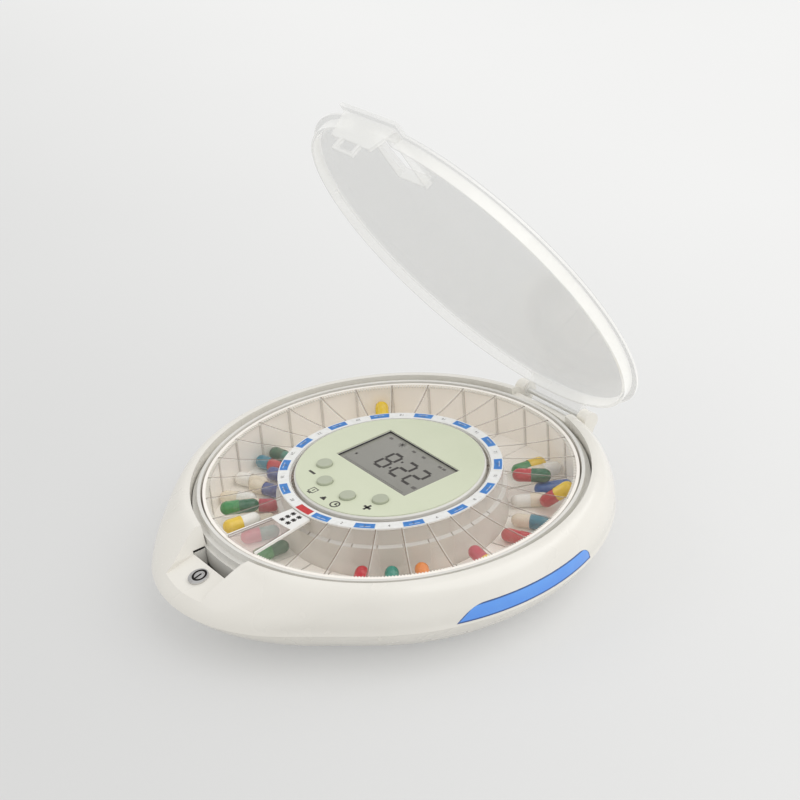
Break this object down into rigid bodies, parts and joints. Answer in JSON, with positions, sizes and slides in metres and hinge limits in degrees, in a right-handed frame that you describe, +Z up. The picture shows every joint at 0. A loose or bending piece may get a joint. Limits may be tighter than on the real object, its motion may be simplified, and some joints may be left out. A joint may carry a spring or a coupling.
{
  "type": "automatic pill dispenser",
  "caption": "Round automatic pill dispenser with a turning tray of doses round a display with push buttons, a hinged clear lid and a front lock.",
  "frame": {"origin": "on the tray's turning axis, on the plane the underside rests over (the feet stand 0.8 mm below the underside)", "axes": "+Z up, -Y towards the user and the lock, +Y towards the lid's hinge, +X to the user's right"},
  "size_m": [0.2, 0.219, 0.2054],
  "materials": {
    "white_shell": "gloss",
    "clear_tray": "clear gloss",
    "clear_lid": "clear gloss",
    "blue_window": "gloss",
    "pale_green": "satin",
    "button_grey": "satin",
    "display_grey": "gloss",
    "label": "matt",
    "gear_plastic": "satin",
    "steel": "brushed",
    "lock_metal": "polished",
    "board_green": "satin",
    "black_plastic": "matt",
    "cell_jacket": "gloss",
    "rubber": "matt"
  },
  "bodies": {
    "casing": {"upper_shell": "white_shell", "base_pan": "white_shell", "tray_well": "white_shell", "battery_door": "white_shell", "light_window_right": "blue_window", "light_window_left": "blue_window", "rubber_feet": "rubber", "batteries": "cell_jacket", "battery_contacts": "steel", "case_screws": "steel", "gearbox_plate": "steel", "gear_axle": "steel", "drive_motor": "black_plastic", "main_pcb": "board_green", "pcb_screws": "steel", "button_switches": "black_plastic", "buzzer": "black_plastic", "lcd_panel": "display_grey", "lcd_connector": "black_plastic", "display_housing": "white_shell", "display_fascia": "pale_green", "led_board_right": "board_green", "led_board_left": "board_green", "hinge_pin": "steel", "lock_barrel": "lock_metal", "lock_nut": "steel"},
    "tray": {"tray_floor": "clear_tray", "tray_outer_wall": "clear_tray", "tray_inner_wall": "clear_tray", "tray_dividers": "clear_tray", "dosage_ring": "label", "sector_cover": "clear_tray", "cover_label": "label", "tray_ring_gear": "clear_tray"},
    "drive_wheel": {"drive_gear": "gear_plastic"},
    "motor_rotor": {"motor_shaft": "steel", "motor_pinion": "gear_plastic"},
    "lid": {"clear_lid": "clear_lid"},
    "minus_key": {"button_minus": "button_grey"},
    "clock_key": {"button_clock": "button_grey"},
    "alarm_key": {"button_alarm": "button_grey"},
    "plus_key": {"button_plus": "button_grey"},
    "lock_core": {"lock_plug": "lock_metal", "lock_cam": "steel"}
  },
  "joints": [
    {"name": "tray_spin", "type": "hinge", "parent": "casing", "child": "tray", "pos_m": [0, 0, 0.0157], "axis": [0, 0, 1], "continuous": true},
    {"name": "drive_gear_spin", "type": "hinge", "parent": "casing", "child": "drive_wheel", "pos_m": [0, 0.037, 0.0314], "axis": [0, 0, 1], "continuous": true},
    {"name": "motor_spin", "type": "hinge", "parent": "casing", "child": "motor_rotor", "pos_m": [0, 0.023, 0.0314], "axis": [0, 0, 1], "continuous": true},
    {"name": "lid_hinge", "type": "hinge", "parent": "casing", "child": "lid", "pos_m": [0, 0.0988, 0.0352], "axis": [-1, 0, 0], "range_deg": [-59, 36]},
    {"name": "minus_press", "type": "slide", "parent": "casing", "child": "minus_key", "axis": [0, 0, -1], "range_m": [0, 0.0005], "stiffness_N_per_m": 1500, "springref_m": -0.0003},
    {"name": "clock_press", "type": "slide", "parent": "casing", "child": "clock_key", "axis": [0, 0, -1], "range_m": [0, 0.0005], "stiffness_N_per_m": 1500, "springref_m": -0.0003},
    {"name": "alarm_press", "type": "slide", "parent": "casing", "child": "alarm_key", "axis": [0, 0, -1], "range_m": [0, 0.0005], "stiffness_N_per_m": 1500, "springref_m": -0.0003},
    {"name": "plus_press", "type": "slide", "parent": "casing", "child": "plus_key", "axis": [0, 0, -1], "range_m": [0, 0.0005], "stiffness_N_per_m": 1500, "springref_m": -0.0003},
    {"name": "lock_turn", "type": "hinge", "parent": "casing", "child": "lock_core", "pos_m": [0, -0.102, 0.02898], "axis": [0, -0.225, 0.9744], "range_deg": [0, 90]}
  ],
  "couplings": [
    {"joint": "drive_gear_spin", "follows": "tray_spin", "ratio": 5.625},
    {"joint": "motor_spin", "follows": "tray_spin", "ratio": -7.5}
  ]
}
